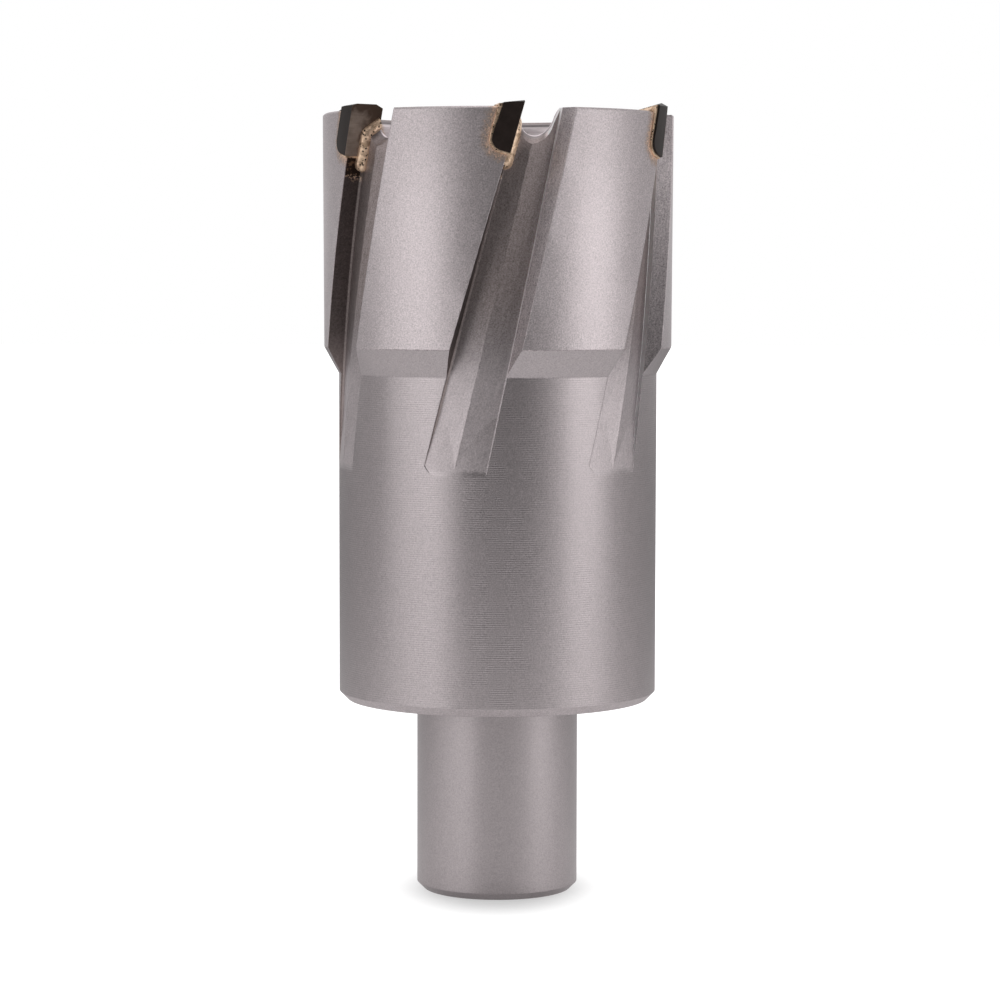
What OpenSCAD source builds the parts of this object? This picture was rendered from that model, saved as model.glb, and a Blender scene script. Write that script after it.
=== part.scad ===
// Carbide-tipped annular cutter, standing on its shank with the teeth up.
// One turned and milled steel body carries brazed carbide tips around its open end.

/* [Cut] */
// Diameter over the carbide tips
cut_dia = 42; // [36:0.5:56]
// Thickest plate that the cutter reaches through
cut_depth = 55; // [45:0.5:62]
// Width of the ring that the tips cut
kerf = 4.3; // [3.8:0.1:5]
// Number of teeth around the crown
teeth = 6; // [4:1:8]
// Angle of the first tooth, turned to the right from the front
first_tooth = 8.35; // [0:0.05:45]

/* [Shank] */
// Diameter of the shank
shank_dia = 19.05; // [16:0.05:24]
// Length of the shank, from its end to the shoulder
shank_len = 22.8; // [20:0.1:32]
// Bevel at the end of the shank
shank_bevel = 0.8; // [0.4:0.1:1.5]
// Angle between the two drive flats
flat_spread = 90; // [80:5:180]
// Turn of the drive flats from the far side
flat_turn = 15; // [-15:5:15]
// Depth of the two drive flats
flat_depth = 1.2; // [0.6:0.1:1.8]
// Length of the drive flats along the shank
flat_len = 12; // [8:0.5:14]
// Height of the drive flats above the shank's end
flat_start = 5.4; // [3:0.1:6]
// Diameter of the pilot bore
pilot_dia = 8; // [6:0.1:9]
// Bevel at the mouth of the pilot bore
pilot_bevel = 0.5; // [0.2:0.1:1]

/* [Barrel] */
// Length of the barrel, from the shoulder to the crown's ring
barrel_len = 38.5; // [36:0.5:46]
// Bevel at the shoulder
barrel_bevel = 0.95; // [0.4:0.05:2]
// Step from the crown down to the barrel, on the radius
crown_step = 1.85; // [1.6:0.05:2]
// Room in the core cavity past the depth of cut
core_room = 2; // [1:0.5:3]
// How far the tips stand in past the wall of the core cavity
core_clear = 0.4; // [0.1:0.05:0.6]
// Bevel at the mouth of the core cavity, in height
mouth_h = 0.85; // [0.4:0.05:1.2]
// Bevel at the mouth of the core cavity, in width
mouth_w = 0.7; // [0.3:0.05:1]
// Share of that bevel's height above its middle edge
mouth_bow_h = 0.35; // [0.25:0.05:0.5]
// Share of that bevel's width inside its middle edge
mouth_bow_w = 0.4; // [0.25:0.05:0.5]

/* [Crown] */
// Length of the crown, from its ring to the land's top
crown_len = 27.15; // [24:0.05:32]
// Height of the sloped ring under the crown
ring_h = 3.1; // [2:0.1:5]
// How far the tips stand out from the crown
tip_overhang = 0.4; // [0.2:0.05:0.6]
// Radius that the crown loses towards its ring
crown_taper = 0.13; // [0:0.01:0.3]
// Broken edge around the land's top
land_bevel = 0.2; // [0.1:0.05:0.4]

/* [Flutes] */
// Lean of the leading wall
lead_lean = 16.6; // [14:0.1:18]
// Lean of the trailing wall
trail_lean = 13; // [11:0.1:15]
// Angle from the leading to the trailing wall at the land's top
flute_angle = 15.3; // [14:0.1:18]
// How far the trailing wall's low step reaches above the barrel's surface
step_rise = 0.12; // [0.06:0.02:0.3]
// Angle that the trailing wall's slope takes up
slope_angle = 2.7; // [1:0.1:5]
// Length of a flute, from the land's top to its end on the barrel
flute_len = 41.4; // [38:0.1:44]
// Length of the run-out at the end of a flute
run_out = 6.5; // [2:0.1:8]
// Radius of the round corner at the end of the leading wall
end_corner_r = 2.75; // [1.5:0.05:3.5]
// How far that round would reach below the flute's end
end_corner_drop = 0.35; // [0.2:0.05:0.6]
// Depth of the flute's floor below the barrel's surface
floor_cut = 0.42; // [0.3:0.02:0.6]
// Corner between the leading wall and the floor
floor_corner = 0.2; // [0.1:0.02:0.3]

/* [Gullets] */
// Width of a gullet at its round bottom
gullet_w = 4; // [3.4:0.1:4.2]
// Depth of a gullet below the land's top
gullet_depth = 3.95; // [3.6:0.05:4.6]
// Gap between a tip's face and the gullet's round bottom
gullet_set = 0.2; // [0:0.05:0.4]
// Depth of the corner at a tip's face, below the middle of the round bottom
gullet_corner = 1.5; // [1:0.05:1.6]
// Angle at which a gullet's bottom rises inward
gullet_rise = 36; // [25:1:45]
// Flare of a gullet's far wall
gullet_flare = 12; // [4:1:14]

/* [Tips] */
// How far the tips stand up from the land
tip_rise = 0.65; // [0.4:0.05:1.2]
// Thickness of a tip
tip_t = 2.45; // [2:0.05:3]
// Thickness that a tip loses towards its top
tip_taper = 0.2; // [0:0.05:0.4]
// Height of a tip along its face
tip_h = 6.1; // [5.6:0.1:7.5]
// Lean of a tip's face
tip_lean = 15.8; // [14:0.1:17]
// Fall of a tip's top behind its edge
tip_relief = 6.2; // [3:0.1:9]
// Radius of the round at a tip's foot
tip_foot_r = 1.35; // [0.6:0.1:1.6]
// Width of the bevel at a tip's outer corner
outer_bevel_w = 0.6; // [0.2:0.05:1]
// Fall of the bevel at a tip's outer corner
outer_bevel_h = 0.2; // [0.1:0.05:0.4]
// Width of the bevel at a tip's inner corner
inner_bevel_w = 1; // [0.4:0.05:1.4]
// Fall of the bevel at a tip's inner corner
inner_bevel_h = 0.43; // [0.1:0.01:0.6]
// Count of teeth from one with a peaked tip to the next
peak_every = 3; // [3:1:4]
// How far a peaked tip stands above the others
peak_rise = 0.42; // [0.2:0.02:0.6]
// Width of the slope outside a tip's peak
peak_w = 0.8; // [0.4:0.05:1.2]
// Fall of a peaked tip's top from its peak to its inner side
peak_fall = 0.5; // [0.2:0.05:0.8]
// How far a tip's face stands ahead of the leading wall
face_lead = 0.2; // [0.1:0.02:0.3]

/* [Braze] */
// Thickness of the braze behind and under a tip
braze_gap = 0.25; // [0.1:0.05:0.3]
// How far the braze stands out from the crown
braze_proud = 0.15; // [0.05:0.05:0.2]
// Radius of the bead along a tip's face
bead_r = 0.9; // [0.6:0.05:1]
// Length of the bead below a tip
bead_tail = 0.9; // [0.8:0.1:2.5]
// Height of the braze behind a tip on the land
heel_h = 0.3; // [0.15:0.05:0.4]
// Length of the braze behind a tip on the land
heel_len = 0.4; // [0.3:0.1:1.5]
// Width of the braze behind a tip, inward from the crown's surface
heel_w = 1.9; // [1:0.1:2.4]

/* [Hidden] */
$fn = 96;
// Overshoot of the cutting shapes
past = 1;
// Straight steps along a flute's twist
flute_slices = 24;
// Overlap of the two passes past their ridge
pass_lap = 1.05;

// Heights, from the shank's end up
shoulder_z = shank_len;
ring_z = shoulder_z + barrel_len;
crown_z = ring_z + ring_h;
land_z = crown_z + crown_len;
tip_z = land_z + tip_rise;
core_z = tip_z - cut_depth - core_room;
flute_end_z = land_z - flute_len;

// Radii, from the tips inward
cut_r = cut_dia / 2;
crown_r = cut_r - tip_overhang;
crown_low_r = crown_r - crown_taper;
barrel_r = crown_r - crown_step;
floor_r = barrel_r - floor_cut;
tip_in_r = cut_r - kerf;
core_r = tip_in_r + core_clear;
shank_r = shank_dia / 2;
pilot_r = pilot_dia / 2;
gullet_r = gullet_w / 2;

// Turn of the flute's walls, in degrees for each millimetre of height
function turn_rate(lean) = tan(lean) / crown_r * 180 / PI;
lead_rate = turn_rate(lead_lean);
trail_rate = turn_rate(trail_lean);

// Angle of each wall at a height, counted from the tooth's own radius
function lead_angle(z) = -asin(face_lead / floor_r) - lead_rate * (tip_z - z);
function trail_angle(z) = lead_angle(land_z) + flute_angle - trail_rate * (land_z - z);

// Width that each pass clears, a little past the ridge where the flute is widest
widest_angle = trail_angle(flute_end_z) - lead_angle(flute_end_z);
pass_w = floor_r * tan(widest_angle / 2) * pass_lap;

// Place of a gullet's round bottom along the tip's face
gullet_y = gullet_set + gullet_r;
gullet_s = (land_z - gullet_depth + gullet_r * cos(tip_lean) / cos(gullet_rise)
    + gullet_y * sin(tip_lean) - tip_z) / cos(tip_lean);
// The bead turns where the gullet's corner meets the flute's floor
bead_s = gullet_s - gullet_corner / cos(gullet_rise);

// Side place of a tip's back at a height near its top
function back_t(z) = (z - tip_z) * tan(tip_lean) - (tip_t - tip_taper) / cos(tip_lean);

// Height that a tip's peak adds; the second tooth of each group has one
function lift(i) = i % peak_every == 2 ? peak_rise : 0;

// Puts a shape drawn for a tooth on +X at tooth i; the front is -Y
module at_tooth(i) {
    rotate([0, 0, first_tooth - 90 + (i - 1) * 360 / teeth]) children();
}

// Frame of a tip's face: X outward, Y ahead of the face, Z up the face from its edge
module on_face() {
    translate([0, 0, tip_z]) rotate([-tip_lean, 0, 0]) children();
}

// Sweeps an outline, drawn in Y and Z, outward through the wall
module through_wall() {
    reach = cut_r + past - tip_in_r + 2 * past;
    translate([tip_in_r - 2 * past, 0, 0])
        rotate([90, 0, 90]) linear_extrude(reach) children();
}

// Turned blank
module blank() {
    rotate_extrude() polygon([
        [pilot_r + pilot_bevel, 0],
        [shank_r - shank_bevel, 0],
        [shank_r, shank_bevel],
        [shank_r, shoulder_z],
        [barrel_r - barrel_bevel, shoulder_z],
        [barrel_r, shoulder_z + barrel_bevel],
        [barrel_r, ring_z],
        [crown_low_r, crown_z],
        [crown_r, land_z - land_bevel],
        [crown_r - land_bevel, land_z],
        [core_r + mouth_w, land_z],
        [core_r + mouth_w * mouth_bow_w, land_z - mouth_h * mouth_bow_h],
        [core_r, land_z - mouth_h],
        [core_r, core_z],
        [pilot_r, core_z],
        [pilot_r, pilot_bevel]
    ]);
}

// One milling pass along a flute, which turns with the height
module flute_pass(rate, end_angle) {
    low_z = flute_end_z - past / 2;
    reach = tip_z + past - low_z;
    translate([0, 0, low_z])
        rotate([0, 0, end_angle - rate * past / 2])
            linear_extrude(reach, twist = -rate * reach, slices = flute_slices, segments = 1)
                children();
}

// Pass that leaves the leading wall and the floor square to it
module lead_pass() {
    out_r = cut_r + past;
    flute_pass(lead_rate, lead_angle(flute_end_z)) polygon([
        [floor_r + floor_corner, 0],
        [out_r, 0],
        [out_r, pass_w],
        [floor_r, pass_w],
        [floor_r, floor_corner]
    ]);
}

// Pass that leaves the rest of the floor, a low step and the crown's sloped wall
module trail_pass() {
    out_r = cut_r + past;
    step_r = barrel_r + step_rise;
    slope = slope_angle * (out_r - step_r) / (crown_r - step_r);
    flute_pass(trail_rate, trail_angle(flute_end_z)) polygon([
        [floor_r, -pass_w],
        [floor_r, 0],
        [step_r, 0],
        [out_r * cos(slope), out_r * sin(slope)],
        [out_r, -pass_w]
    ]);
}

// Core that lifts the flutes' floor out to the barrel's surface
module run_out_core() {
    climb = floor_cut / run_out;
    translate([0, 0, flute_end_z - past])
        cylinder(h = run_out + past, r1 = barrel_r + climb * past, r2 = floor_r);
}

// Stock that the round end of the leading pass leaves under the leading wall
module end_corner() {
    rotate([0, 0, lead_angle(flute_end_z)])
        translate([floor_r - past, 0, flute_end_z])
            rotate([90, 0, 90]) linear_extrude(floor_cut + 2 * past) difference() {
                translate([-past, -past]) square(end_corner_r + past);
                translate([end_corner_r, end_corner_r - end_corner_drop]) circle(end_corner_r);
            }
}

module flutes() {
    difference() {
        for (i = [1:teeth]) at_tooth(i) {
            lead_pass();
            trail_pass();
        }
        for (i = [1:teeth]) at_tooth(i) end_corner();
        run_out_core();
    }
}

// Round-bottomed slot through the wall, ahead of a tip's face
module gullet() {
    in_reach = (floor_r - tip_in_r) / cos(gullet_rise) + 2 * past;
    out_reach = (cut_r - floor_r) / cos(gullet_rise) / 2;
    top = gullet_depth + tip_rise + 2 * past;
    on_face() translate([floor_r, gullet_y, gullet_s])
        rotate([0, gullet_rise, 0]) rotate([90, 0, 90])
            translate([0, 0, -in_reach]) linear_extrude(in_reach + out_reach) {
                circle(gullet_r);
                polygon([
                    [-gullet_y, -gullet_corner],
                    [0, -gullet_corner],
                    [gullet_r, 0],
                    [gullet_r + top * tan(gullet_flare), top],
                    [-gullet_y, top]
                ]);
            }
}

// Side outline of a tip or its seat: set back at its front, grown at its back and foot, and with
// headroom above its top
module tip_outline(taper = 0, front = 0, grow = 0, headroom = 0) {
    back = tip_t + grow;
    top_back = back - taper;
    top_fall = tan(tip_lean + tip_relief);
    foot_y = -(tip_t - tip_foot_r);
    foot_s = -tip_h + tip_foot_r;
    foot_r = tip_foot_r + grow;
    polygon([
        [-front, headroom - front * top_fall],
        [-top_back, headroom - top_back * top_fall],
        [-back, foot_s],
        [-front, foot_s]
    ]);
    translate([foot_y, foot_s - foot_r]) square([-foot_y - front, foot_r]);
    intersection() {
        translate([foot_y, foot_s]) circle(foot_r);
        translate([-back, foot_s - foot_r]) square([back - front, 2 * foot_r]);
    }
}

module tip_seat() {
    on_face() through_wall() tip_outline(grow = braze_gap, headroom = 3 * past);
}

// Ring that trims a tip to the kerf; its top bevels the tip's corners, or slopes on both sides of a peak
module kerf_ring(peaked) {
    low_z = tip_z - tip_h - past;
    bevels = [
        [cut_r, tip_z - outer_bevel_h],
        [cut_r - 2 * outer_bevel_w, tip_z + outer_bevel_h],
        [tip_in_r + 2 * inner_bevel_w, tip_z + inner_bevel_h],
        [tip_in_r, tip_z - inner_bevel_h]
    ];
    slopes = [
        [cut_r, tip_z],
        [cut_r - peak_w, tip_z + peak_rise],
        [tip_in_r, tip_z + peak_rise - peak_fall]
    ];
    rotate_extrude() polygon(concat([[tip_in_r, low_z], [cut_r, low_z]], peaked ? slopes : bevels));
}

module tip(i) {
    intersection() {
        on_face() through_wall() tip_outline(taper = tip_taper, headroom = lift(i) / cos(tip_lean));
        kerf_ring(lift(i) > 0);
    }
}

// Braze that fills a tip's seat behind its face, cut off a little above the land
module braze_layer(i) {
    low_z = tip_z - tip_h - past;
    high_z = land_z + heel_h + lift(i);
    headroom = lift(i) / cos(tip_lean);
    intersection() {
        on_face() through_wall() tip_outline(front = face_lead / 2, grow = braze_gap, headroom = headroom);
        translate([0, 0, low_z]) difference() {
            cylinder(h = high_z - low_z, r = crown_r + braze_proud);
            translate([0, 0, -past]) cylinder(h = tip_h + 3 * past, r = core_r);
        }
    }
}

// Wedge of braze that runs out on the land behind a tip, lower towards its inner side
module braze_heel(i) {
    top_z = land_z + heel_h + lift(i);
    out_r = crown_r - land_bevel;
    intersection() {
        through_wall() polygon([
            [back_t(land_z), land_z],
            [back_t(top_z), top_z],
            [back_t(land_z) - tip_taper - braze_gap - heel_len - lift(i), land_z]
        ]);
        rotate_extrude() polygon([[crown_r - heel_w, land_z], [out_r, land_z], [out_r, top_z]]);
    }
}

// Bead along a tip's face: up the gullet's bottom and down the flute's corner
module bead_rod() {
    rise_len = (floor_r - core_r) / cos(gullet_rise) + past;
    drop_len = bead_s + tip_h + bead_tail;
    on_face() translate([floor_r, 0, bead_s]) {
        sphere(bead_r);
        rotate([0, gullet_rise - 90, 0]) cylinder(h = rise_len, r = bead_r);
        translate([0, 0, -drop_len]) cylinder(h = drop_len, r = bead_r);
        translate([0, 0, -drop_len]) sphere(bead_r);
    }
}

module braze_bead() {
    difference() {
        intersection() {
            bead_rod();
            union() {
                lead_pass();
                gullet();
            }
        }
        cylinder(h = tip_z + past, r = core_r);
    }
}

// Steel body: turned, fluted and slotted, with the tip seats and the drive flats
module cutter_body() {
    color("silver") difference() {
        blank();
        flutes();
        for (i = [1:teeth]) at_tooth(i) {
            gullet();
            tip_seat();
        }
        for (side = [-1, 1]) rotate([0, 0, 90 + flat_turn + side * flat_spread / 2])
            translate([shank_r - flat_depth, -shank_r, flat_start])
                cube([flat_depth + past, shank_dia, flat_len]);
    }
}

// Carbide insert of tooth i
module carbide_tip(i) {
    color("dimgray") at_tooth(i) tip(i);
}

// Filler metal that holds the insert of tooth i
module braze(i) {
    color("burlywood") at_tooth(i) difference() {
        union() {
            braze_layer(i);
            braze_heel(i);
            braze_bead();
        }
        tip(i);
    }
}

cutter_body();
for (i = [1:teeth]) {
    carbide_tip(i);
    braze(i);
}
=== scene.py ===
"""Looks of the annular cutter: materials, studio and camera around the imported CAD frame."""

import math
from collections import namedtuple

import bpy
from mathutils import Euler, Matrix, Vector


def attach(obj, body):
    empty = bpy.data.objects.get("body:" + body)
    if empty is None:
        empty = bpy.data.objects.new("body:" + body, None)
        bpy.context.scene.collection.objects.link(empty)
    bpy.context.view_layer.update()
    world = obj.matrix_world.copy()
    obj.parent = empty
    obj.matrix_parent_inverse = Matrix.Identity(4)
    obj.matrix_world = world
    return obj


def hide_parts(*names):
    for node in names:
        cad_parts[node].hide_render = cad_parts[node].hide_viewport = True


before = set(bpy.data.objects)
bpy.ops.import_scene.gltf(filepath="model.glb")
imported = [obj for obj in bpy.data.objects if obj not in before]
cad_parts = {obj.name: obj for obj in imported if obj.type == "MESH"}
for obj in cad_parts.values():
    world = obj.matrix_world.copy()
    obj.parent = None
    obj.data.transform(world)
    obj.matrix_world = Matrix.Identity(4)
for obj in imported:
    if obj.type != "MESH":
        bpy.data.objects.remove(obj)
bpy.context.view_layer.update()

# Sizes of the part, in millimetres and degrees, as its source gives them
TEETH = 6
FIRST_TOOTH = 8.35
TIP_LEAN = 15.8
TIP_T = 2.45
TIP_H = 6.1
TIP_FOOT_R = 1.35
TIP_Z = 92.2
LAND_Z = 91.55
CROWN_Z = 64.4
RING_Z = 61.3
SHOULDER_Z = 22.8
CROWN_LOW_R = 20.47
BARREL_R = 18.75
CORE_R = 17.1
BRAZE_GAP = 0.25

# Peaked tips: which teeth have one, its highest point, and the fall of its top per millimetre inward
PEAKED_TEETH = (2, 5)
PEAK_Z = 92.62
PEAK_R = 20.2
PEAK_FALL = 0.486

# Depths below a turned surface, in millimetres, at which its mask starts and is full
MASK_START = 0.06
MASK_FULL = 0.02
RING_SKIN = 0.05

# Finish of each kind of steel surface: brightness, grain in it, roughness and grain in the relief
Finish = namedtuple("Finish", "tone grain roughness relief")
FINISHES = {
    "land": Finish(0.2, 1.25, 0.42, 1.0),
    "ring": Finish(-0.06, 0.6, 0.42, 0.6),
    "barrel": Finish(0.0, 0.7, 0.37, 0.5),
    "shank": Finish(-0.07, 0.55, 0.36, 0.35),
    "core": Finish(-0.3, 0.0, 0.36, 0.0),
    "milled": Finish(0.0, 0.8, 0.5, 0.7),
}

# What each detail adds to the steel's brightness; some entries are painted highlights, painted light
# or painted shade
TONES = {
    "wall_grain": 0.6,
    "cloud": 0.08,
    "turned": 0.09,
    "bored": 0.05,
    "strokes": 0.34,
    "pits": 0.2,
    "wall_strokes": 0.3,
    # Painted highlight: a bright band on the bore's wall near the top of the cutter
    "lip_highlight": 1.3,
    # Painted highlight: a bright band on the trailing walls' lower part, up to just past the
    # barrel's radius
    "step": 1.5,
    "land_top": -0.08,
    # Painted shade on the flute floors along the crown, and painted light on them along the barrel
    "upper_flute_shade": -0.25,
    "lower_flute_light": 0.15,
    # Painted shade: the walls that face the way the cutter turns are made darker, standing in for
    # the dark they reflect
    "lead_wall": -0.5,
}

# Sizes of the steel's surface detail, in millimetres
GRAIN_SIZE = 0.15
CLOUD_SIZE = 1.6
STROKE_SIZE = 0.22
PIT_SIZE = 0.3
BLOTCH_SIZE = 0.55
SPECK_SIZE = 0.28
TURN_PITCH = 0.25
BORE_PITCH = 0.4
STEEL_RELIEF = 0.012
STEEL_EDGE = 0.14

# Colours of the metals and of what is burnt on them
STEEL = (0.46, 0.413, 0.422)
WALL_STEEL = (0.43, 0.345, 0.325)
HEAT_TINT = (0.36, 0.25, 0.18)
BRAZE = (0.92, 0.67, 0.48)
BRAZE_FILM = (0.72, 0.52, 0.41)
BRAZE_DULL = (0.48, 0.33, 0.22)
PORE = (0.012, 0.008, 0.006)
SOOT = (0.03, 0.019, 0.013)
BURNT = (0.2, 0.125, 0.075)
CARBIDE_FLANK = (0.024, 0.016, 0.0135)
CARBIDE_RAKE = (0.34, 0.265, 0.22)
CARBIDE_STAIN = (0.055, 0.027, 0.014)

# Strip softboxes around the part: degrees to the right of the camera, and brightness
STRIPS = ((-75, 1.3), (-58, 1.65), (-42, 2.1), (42, 0.5), (58, 2.4), (75, 2.0))
STRIP_DISTANCE = 0.6
STRIP_Z = 0.22
STRIP_AIM = (0, 0, 0.1)
STRIP_SIZE = (0.17, 0.5)
TOP_BRIGHTNESS = 1.4
TOP_Z = 0.7
TOP_SIZE = (0.5, 0.5)
FLOOR_HALF = 3.0

# Camera: metres, degrees and millimetres of lens and sensor
CAMERA_PLACE = (0.00029, -0.3689, 0.07241)
CAMERA_TILT = 4.06
CAMERA_ROLL = 0.107
CAMERA_LENS = 112.28
CAMERA_SENSOR = 36

# Entries and result of a mix node that mixes colours
MIX_SHARE, MIX_LOW, MIX_HIGH = 0, 6, 7
MIX_RESULT = 2


def feed(tree, entry, value):
    """Links a value or an output to a node's entry, or sets a constant on it."""
    if isinstance(value, Value):
        value = value.socket
    if isinstance(value, bpy.types.NodeSocket):
        tree.links.new(value, entry)
    else:
        entry.default_value = value


def add_node(tree, kind, entries, **settings):
    """Adds a node; entries says what feeds its entries, by name or number."""
    node = tree.nodes.new(kind)
    for key, value in settings.items():
        setattr(node, key, value)
    for key, value in entries.items():
        feed(tree, node.inputs[key], value)
    return node


def split(tree, vector):
    """The three numbers of a vector."""
    outputs = add_node(tree, "ShaderNodeSeparateXYZ", {0: vector}).outputs
    return [Value(tree, output) for output in outputs]


def rays(tree, *kinds):
    """Values that are 1 for a ray of each of these kinds."""
    outputs = tree.nodes.new("ShaderNodeLightPath").outputs
    return [Value(tree, outputs[f"Is {kind} Ray"]) for kind in kinds]


class Value:
    """A number in a node tree, which plain arithmetic turns into math nodes."""

    def __init__(self, tree, socket):
        self.tree = tree
        self.socket = socket

    def math(self, operation, *others):
        entries = dict(enumerate((self, *others)))
        node = add_node(self.tree, "ShaderNodeMath", entries, operation=operation)
        return Value(self.tree, node.outputs[0])

    def __add__(self, other):
        return self.math("ADD", other)

    __radd__ = __add__

    def __sub__(self, other):
        return self.math("SUBTRACT", other)

    def __rsub__(self, other):
        return -self + other

    def __mul__(self, other):
        return self.math("MULTIPLY", other)

    def __truediv__(self, other):
        return self.math("DIVIDE", other)

    def __neg__(self):
        return self * -1

    def ramp(self, low, high):
        """0 at low and 1 at high, with a smooth rise between them."""
        entries = {"Value": self, "From Min": low, "From Max": high}
        node = add_node(self.tree, "ShaderNodeMapRange", entries, interpolation_type="SMOOTHSTEP")
        return Value(self.tree, node.outputs["Result"])

    def near(self, centre, reach):
        """1 where the value is centre, 0 from reach away."""
        return (self - centre).math("ABSOLUTE").ramp(reach, 0)


class Look:
    """A material with the helpers that its nodes need; lengths are in millimetres.

    The value facing is 1 on a wall that faces the way the cutter turns, and -1 on one that
    faces back.
    """

    def __init__(self, name):
        self.material = bpy.data.materials.new(name)
        self.material.use_nodes = True
        self.tree = self.material.node_tree
        self.shader = self.tree.nodes["Principled BSDF"]
        outputs = self.tree.nodes.new("ShaderNodeTexCoord").outputs
        self.place = self.shade(outputs["Object"], 1000)
        self.x, self.y, self.z = split(self.tree, self.place)
        self.r = (self.x * self.x + self.y * self.y).math("SQRT")
        across, deep, _ = split(self.tree, outputs["Normal"])
        self.facing = (self.x * deep - self.y * across) / self.r

    def vector(self, x, y, z):
        return add_node(self.tree, "ShaderNodeCombineXYZ", {0: x, 1: y, 2: z}).outputs[0]

    def noise(self, size, detail=2.0, place=None):
        """Cloudy value around 0.5 whose spots are about size across."""
        entries = {"Scale": 1 / size, "Detail": detail, "Vector": place or self.place}
        return Value(self.tree, add_node(self.tree, "ShaderNodeTexNoise", entries).outputs["Fac"])

    def spots(self, size):
        """Distance from the middle of the nearest of many scattered spots, in sizes."""
        entries = {"Scale": 1 / size, "Vector": self.place}
        node = add_node(self.tree, "ShaderNodeTexVoronoi", entries)
        return Value(self.tree, node.outputs["Distance"])

    def mix(self, share, low, high):
        """Colour that goes from low to high with share."""
        low, high = ((*c, 1) if isinstance(c, tuple) else c for c in (low, high))
        entries = {MIX_SHARE: share, MIX_LOW: low, MIX_HIGH: high}
        return add_node(self.tree, "ShaderNodeMix", entries, data_type="RGBA").outputs[MIX_RESULT]

    def shade(self, colour, brightness):
        """Colour, or any vector, times a brightness."""
        entries = {0: colour, "Scale": brightness}
        return add_node(self.tree, "ShaderNodeVectorMath", entries, operation="SCALE").outputs[0]

    def bump(self, height, depth, edge):
        """Puts a height, whose 1 is depth millimetres, on the surface and rounds its edges."""
        bevel = add_node(self.tree, "ShaderNodeBevel", {"Radius": edge / 1000}, samples=6)
        entries = {
            "Strength": 1.0,
            "Distance": depth / 1000,
            "Height": height,
            "Normal": bevel.outputs[0],
        }
        self.put("Normal", add_node(self.tree, "ShaderNodeBump", entries).outputs[0])

    def put(self, entry, value):
        """Links or sets one of the shader's entries."""
        feed(self.tree, self.shader.inputs[entry], value)


def tip_frame(look):
    """Place beside the nearest tip: how far ahead of its face, and how far up along it."""
    sector = 180 / TEETH
    turn = look.x.math("ARCTAN2", -look.y) * math.degrees(1) - FIRST_TOOTH
    side = look.r * (turn.math("WRAP", sector, -sector) * math.radians(1)).math("SINE")
    up = look.z - TIP_Z
    sine, cosine = math.sin(math.radians(TIP_LEAN)), math.cos(math.radians(TIP_LEAN))
    return side * cosine - up * sine, side * sine + up * cosine


def steel_zones(look):
    """Masks of the kinds of steel surface, told apart by their place."""
    shank = look.z.ramp(SHOULDER_Z + MASK_FULL, SHOULDER_Z - MASK_FULL)
    barrel = look.r.ramp(BARREL_R - MASK_START, BARREL_R - MASK_FULL)
    barrel = barrel * look.z.ramp(RING_Z + RING_SKIN, RING_Z) * (1 - shank)
    ring_r = (look.z - RING_Z) * ((CROWN_LOW_R - BARREL_R) / (CROWN_Z - RING_Z)) + BARREL_R
    ring = (look.r - ring_r).near(0, RING_SKIN) * look.z.ramp(RING_Z - MASK_FULL, RING_Z)
    land = look.r.ramp(CROWN_LOW_R - MASK_START, CROWN_LOW_R - MASK_FULL)
    core = look.r.ramp(CORE_R + 0.75, CORE_R + 0.1) * (1 - shank)
    zones = {"shank": shank, "barrel": barrel, "ring": ring, "land": land, "core": core}
    zones["milled"] = (1 - sum(zones.values())).math("MAXIMUM", 0.0)
    return zones


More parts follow.
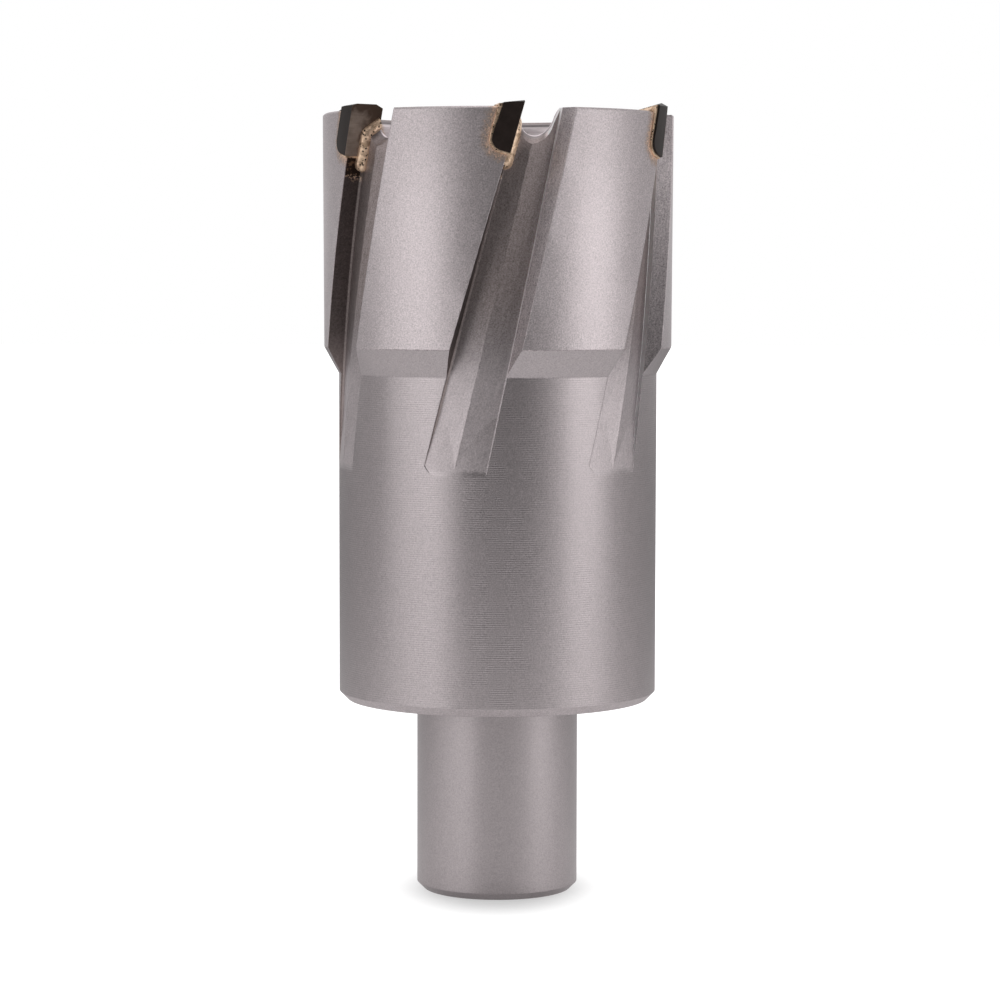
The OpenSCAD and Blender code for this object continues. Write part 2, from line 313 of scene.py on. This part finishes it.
def steel_look():
    """Steel with a finish of its own for each kind of surface, heat stains around the tips, painted
    highlights on the bore's top and the trailing walls' step, painted shade on the leading walls and
    upper flute floors, and painted light on the lower flute floors.
    """
    look = Look("steel")
    ahead, along = tip_frame(look)
    zones = steel_zones(look)
    barrel, land, core, milled = (zones[name] for name in ("barrel", "land", "core", "milled"))

    def finish(quality):
        return sum(mask * getattr(FINISHES[name], quality) for name, mask in zones.items())

    lead_wall = look.facing.ramp(0.5, 0.8) * milled
    trail_wall = look.facing.ramp(-0.5, -0.8) * milled
    top = look.z.ramp(TIP_Z - 6, TIP_Z - 4)
    # Painted highlight: the bore's wall near the top is made bright, as a band of light
    lip_highlight = look.r.ramp(CORE_R + 0.2, CORE_R + 0.08) * top
    # Painted highlight: the trailing walls' lower part, near the barrel's radius, is made bright
    step = look.r.ramp(BARREL_R + 0.2, BARREL_R + 0.06) * trail_wall

    grain = look.noise(GRAIN_SIZE, 1.0) - 0.5
    cloud = look.noise(CLOUD_SIZE, 3.0) - 0.5
    turned_at = look.z * (2 * math.pi / TURN_PITCH) + look.noise(0.9, 2.0) * 1.6
    turned = turned_at.math("SINE") * look.noise(2.2, 2.0).ramp(0.3, 0.62) * barrel
    bored_at = look.z * (2 * math.pi / BORE_PITCH) + look.noise(3.0) * 2.0
    bored = bored_at.math("SINE") * core
    strokes = look.noise(STROKE_SIZE, 3.0, look.vector(ahead, along * 0.12, look.r)) - 0.5
    pits = look.noise(PIT_SIZE, 1.5) - 0.5

    walls = trail_wall - lead_wall
    floors = milled - trail_wall
    brightness = (
        grain * (finish("grain") + walls * TONES["wall_grain"])
        + cloud * TONES["cloud"]
        + turned * TONES["turned"]
        + bored * TONES["bored"]
        + (strokes * TONES["strokes"] + pits * TONES["pits"]) * milled
        + strokes * walls * TONES["wall_strokes"]
        + lip_highlight * TONES["lip_highlight"]
        + step * TONES["step"]
        + finish("tone")
        + 1.0
        + land * look.z.ramp(80, LAND_Z) * TONES["land_top"]
        # Painted shade on the flute floors along the crown, painted light on them along the barrel
        + floors * look.z.ramp(RING_Z, CROWN_Z + 3) * (1 - top) * TONES["upper_flute_shade"]
        + floors * look.z.ramp(CROWN_Z, RING_Z - 3) * TONES["lower_flute_light"]
        # Painted shade on the leading walls
        + lead_wall * TONES["lead_wall"]
    )
    brown = lead_wall * 0.8 + (floors - lead_wall) * look.z.ramp(RING_Z, CROWN_Z + 8) * 0.55
    colour = look.shade(STEEL, brightness)
    colour = look.mix(brown, colour, look.shade(WALL_STEEL, brightness))

    # Stains: a tint and a film of filler around the tips, soot with a crust under their faces
    behind = (-ahead - (TIP_T - TIP_FOOT_R)).math("MAXIMUM", 0.0)
    below = (-along - (TIP_H - TIP_FOOT_R)).math("MAXIMUM", 0.0)
    corner = (behind * behind + below * below).math("SQRT")
    away = (corner - (TIP_FOOT_R + BRAZE_GAP)).math("MAXIMUM", ahead)
    blotch = look.noise(BLOTCH_SIZE, 3.0) - 0.5
    speck = look.noise(SPECK_SIZE, 2.0) - 0.5
    tint = (away + blotch * 1.5).ramp(1.3, 0.35) * (ahead.ramp(1.0, 0.3) * 0.8 + 0.2)
    film = (away + speck * 2.4 + blotch * 1.2).ramp(0.6, 0.0) * look.r.ramp(CORE_R, CORE_R + 1)
    foot = -along - TIP_H
    under = foot.ramp(-0.3, 0.1) * lead_wall * ahead.near(-0.1, 1.2)
    soot = (foot + blotch * 1.2).ramp(2.8, 2.1) * under
    crust = (foot + blotch * 1.2).near(2.5, 0.5) * speck.ramp(-0.02, 0.1) * under
    burnt = look.mix((blotch + speck).ramp(0.02, 0.2), SOOT, BURNT)
    colour = look.mix(tint * 0.62, colour, look.shade(HEAT_TINT, brightness))
    colour = look.mix(film * 0.85, colour, look.shade(BRAZE_FILM, brightness))
    colour = look.mix(tint * speck.ramp(0.1, 0.16) * 0.7, colour, BRAZE)
    colour = look.mix(soot * 0.93, colour, burnt)
    colour = look.mix(crust * 0.8, colour, BRAZE)

    roughness = (
        finish("roughness")
        + (milled + core) * top * 0.15
        + land * look.z.ramp(75, LAND_Z) * 0.06
        + grain * 0.15
        + tint * 0.05
    )
    height = (
        grain * finish("relief")
        + turned * 0.2
        + bored * 0.3
        + strokes * milled * 0.8
        + speck * film * 1.5
    )
    look.put("Metallic", 1.0)
    look.put("Base Color", colour)
    look.put("Roughness", roughness)
    look.bump(height, STEEL_RELIEF, STEEL_EDGE)
    return look.material


def carbide_look():
    """Ground carbide, nearly black, with burnt-on stains near its top and inner side."""
    look = Look("carbide")
    ahead, along = tip_frame(look)
    smear = look.noise(1.1, 3.0) - 0.5
    scratch = look.noise(0.18, 2.0, look.vector(ahead, along, look.r * 0.1)) - 0.5
    rake = ahead.ramp(-0.06, -0.02)
    upper = (along + smear * 3.0).ramp(-2.2, -0.6) * rake
    inner = (look.r + smear * 2.2).ramp(19.6, 18.0) * rake
    stain = upper.math("MAXIMUM", inner)
    clean = look.mix(rake, CARBIDE_FLANK, CARBIDE_RAKE)
    clean = look.shade(clean, scratch * 0.5 + smear * 0.8 + 1.0)
    look.put("Base Color", look.mix(stain * 0.9, clean, CARBIDE_STAIN))
    look.put("Specular IOR Level", 0.25)
    look.put("Roughness", scratch * 0.12 + smear * 0.1 + stain * 0.12 + 0.42)
    look.bump(scratch + smear * 0.5, 0.004, 0.06)
    return look.material


def braze_look():
    """Filler metal as it set: lumpy and golden, with pores and dull brown patches."""
    look = Look("braze")
    lump = look.noise(0.5, 2.0) - 0.5
    dull = look.noise(0.8, 3.0) - 0.5
    pore = look.spots(0.4).ramp(0.3, 0.2) * look.noise(1.3, 1.0).ramp(0.4, 0.48)
    colour = look.mix(dull.ramp(-0.02, 0.14), BRAZE, BRAZE_DULL)
    look.put("Base Color", look.mix(pore, look.shade(colour, lump * 0.5 + 1.0), PORE))
    look.put("Metallic", 0.6)
    look.put("Roughness", dull * 0.3 + pore * 0.3 + 0.4)
    look.bump(lump * 1.5 - pore, 0.06, 0.1)
    return look.material


def dress():
    """Gives every CAD node the material of its kind."""
    looks = {"cutter_body": steel_look(), "carbide_tip": carbide_look(), "braze": braze_look()}
    for name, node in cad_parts.items():
        kind = name.rstrip("0123456789").rstrip("_")
        node.data.materials.clear()
        node.data.materials.append(looks[kind])


def smooth_flutes(body):
    """Shades the twisted facets of the flutes as smooth surfaces; corners stay sharp."""
    group = bpy.data.node_groups.new("smooth_flutes", "GeometryNodeTree")
    for way in ("INPUT", "OUTPUT"):
        group.interface.new_socket("Geometry", in_out=way, socket_type="NodeSocketGeometry")

    def add(kind, *entries, **settings):
        return add_node(group, kind, dict(enumerate(entries)), **settings)

    whole = add("NodeGroupInput").outputs[0]
    normals = add("GeometryNodeInputNormal").outputs
    normals = normals["Normal"], normals["True Normal"]
    bend = add("ShaderNodeVectorMath", *normals, operation="DISTANCE").outputs["Value"]
    bend = add("GeometryNodeFieldOnDomain", bend, domain="CORNER").outputs[0]
    flat = add("FunctionNodeCompare", bend, 0.0005, operation="LESS_THAN").outputs[0]
    flats, rounds = add("GeometryNodeSeparateGeometry", whole, flat, domain="FACE").outputs
    welded = add("GeometryNodeMergeByDistance", flats, True, 1e-6).outputs[0]
    angle = add("GeometryNodeInputMeshEdgeAngle").outputs[0]
    corner = math.radians(9)
    sharp = add("FunctionNodeCompare", angle, corner, operation="GREATER_THAN").outputs[0]
    smooth = add("GeometryNodeSetMeshNormal", welded, True, sharp).outputs[0]
    joined = add("GeometryNodeJoinGeometry", rounds)
    group.links.new(smooth, joined.inputs[0])
    add("NodeGroupOutput", joined.outputs[0])
    body.modifiers.new("smooth_flutes", "NODES").node_group = group


def slope_peak(kind, number):
    """Piece that stands for a peaked tip or its filler.

    Its top falls inward from the peak, and points that come down follow the tip's lean.
    """
    node = f"{kind}_{number}"
    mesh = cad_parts[node].data.copy()
    lean = math.tan(math.radians(TIP_LEAN))
    for vertex in mesh.vertices:
        x, y, z = vertex.co
        r = math.hypot(x, y)
        limit = PEAK_Z / 1000 - PEAK_FALL * (PEAK_R / 1000 - r)
        vertex.co += max(0.0, z - limit) * Vector((y / r * lean, -x / r * lean, -1))
    piece = bpy.data.objects.new(f"sloped_{node}", mesh)
    bpy.context.scene.collection.objects.link(piece)
    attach(piece, "root")
    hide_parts(node)


def make_floor():
    """White floor: it takes the part's shadow, and a painted shadow also darkens its glow around the
    part's foot; it looks white where it has neither.
    """
    mesh = bpy.data.meshes.new("floor")
    corners = [(x * FLOOR_HALF, y * FLOOR_HALF, 0) for x, y in ((-1, -1), (1, -1), (1, 1), (-1, 1))]
    mesh.from_pydata(corners, [], [(0, 1, 2, 3)])
    floor = bpy.data.objects.new("floor", mesh)
    bpy.context.scene.collection.objects.link(floor)
    look = Look("floor")
    camera, glossy, through = rays(look.tree, "Camera", "Glossy", "Transmission")
    # Glow in reflections: fading far from the part, and darkened behind it as painted shade
    mirrored = look.r.ramp(320, 110) * (look.y.ramp(60, -20) * 0.3 + 0.3)
    shown = camera.math("MAXIMUM", glossy.math("MAXIMUM", through) * mirrored)
    # Strength of the glow: a painted shadow around the part's foot, reaching further to the front
    # and back than to the sides, and brighter further out
    reach = (look.x * look.x + look.y * look.y * 0.4).math("SQRT")
    white = reach.ramp(6.0, 13.0) * 0.4 + look.r.ramp(25, 250) * 0.3 + 0.44
    look.put("Base Color", (0.5, 0.5, 0.5, 1))
    look.put("Roughness", 0.9)
    look.put("Specular IOR Level", 0.0)
    look.put("Emission Color", (1, 1, 1, 1))
    look.put("Emission Strength", shown * white)
    mesh.materials.append(look.material)


def make_strip(name, place, aim, size, brightness):
    """Rectangular softbox whose surface has the given brightness."""
    light = bpy.data.lights.new(name, "AREA")
    light.shape = "RECTANGLE"
    light.size, light.size_y = size
    light.energy = brightness * math.pi * size[0] * size[1]
    holder = bpy.data.objects.new(name, light)
    holder.location = place
    holder.rotation_euler = (Vector(aim) - holder.location).to_track_quat("-Z", "Y").to_euler()
    bpy.context.scene.collection.objects.link(holder)


def make_lights():
    """Upright strips in front of the part, to its left and right, and a square one above it."""
    for number, (azimuth, brightness) in enumerate(STRIPS):
        a = math.radians(azimuth)
        place = (STRIP_DISTANCE * math.sin(a), -STRIP_DISTANCE * math.cos(a), STRIP_Z)
        make_strip(f"strip_{number}", place, STRIP_AIM, STRIP_SIZE, brightness)
    make_strip("top", (0, 0, TOP_Z), (0, 0, 0), TOP_SIZE, TOP_BRIGHTNESS)


def make_world():
    """White backdrop behind the part and a dim room in front; the camera sees white all round."""
    world = bpy.data.worlds.new("studio")
    bpy.context.scene.world = world
    world.use_nodes = True
    tree = world.node_tree
    place = tree.nodes.new("ShaderNodeTexCoord").outputs["Generated"]
    _, behind, _ = split(tree, place)
    backdrop = behind.ramp(-0.15, 0.25) * 0.72 + behind.ramp(0.7, 0.92) * 0.28
    (camera,) = rays(tree, "Camera")
    entries = tree.nodes["Background"].inputs
    feed(tree, entries["Strength"], camera.math("MAXIMUM", backdrop))
    feed(tree, entries["Color"], (1, 1, 1, 1))


def make_camera():
    """Camera at the photograph's place, fitted to the part's outline in it."""
    camera = bpy.data.cameras.new("camera")
    camera.lens = CAMERA_LENS
    camera.sensor_width = CAMERA_SENSOR
    camera.clip_start = 0.01
    holder = bpy.data.objects.new("camera", camera)
    tilt = Euler((math.radians(90 - CAMERA_TILT), 0, 0)).to_matrix()
    roll = Matrix.Rotation(math.radians(CAMERA_ROLL), 3, "Z")
    holder.matrix_world = Matrix.Translation(CAMERA_PLACE) @ (tilt @ roll).to_4x4()
    bpy.context.scene.collection.objects.link(holder)
    bpy.context.scene.camera = holder


dress()
smooth_flutes(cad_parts["cutter_body"])
for number in PEAKED_TEETH:
    slope_peak("carbide_tip", number)
    slope_peak("braze", number)
make_floor()
make_lights()
make_world()
make_camera()

bpy.context.scene.view_settings.view_transform = "Standard"
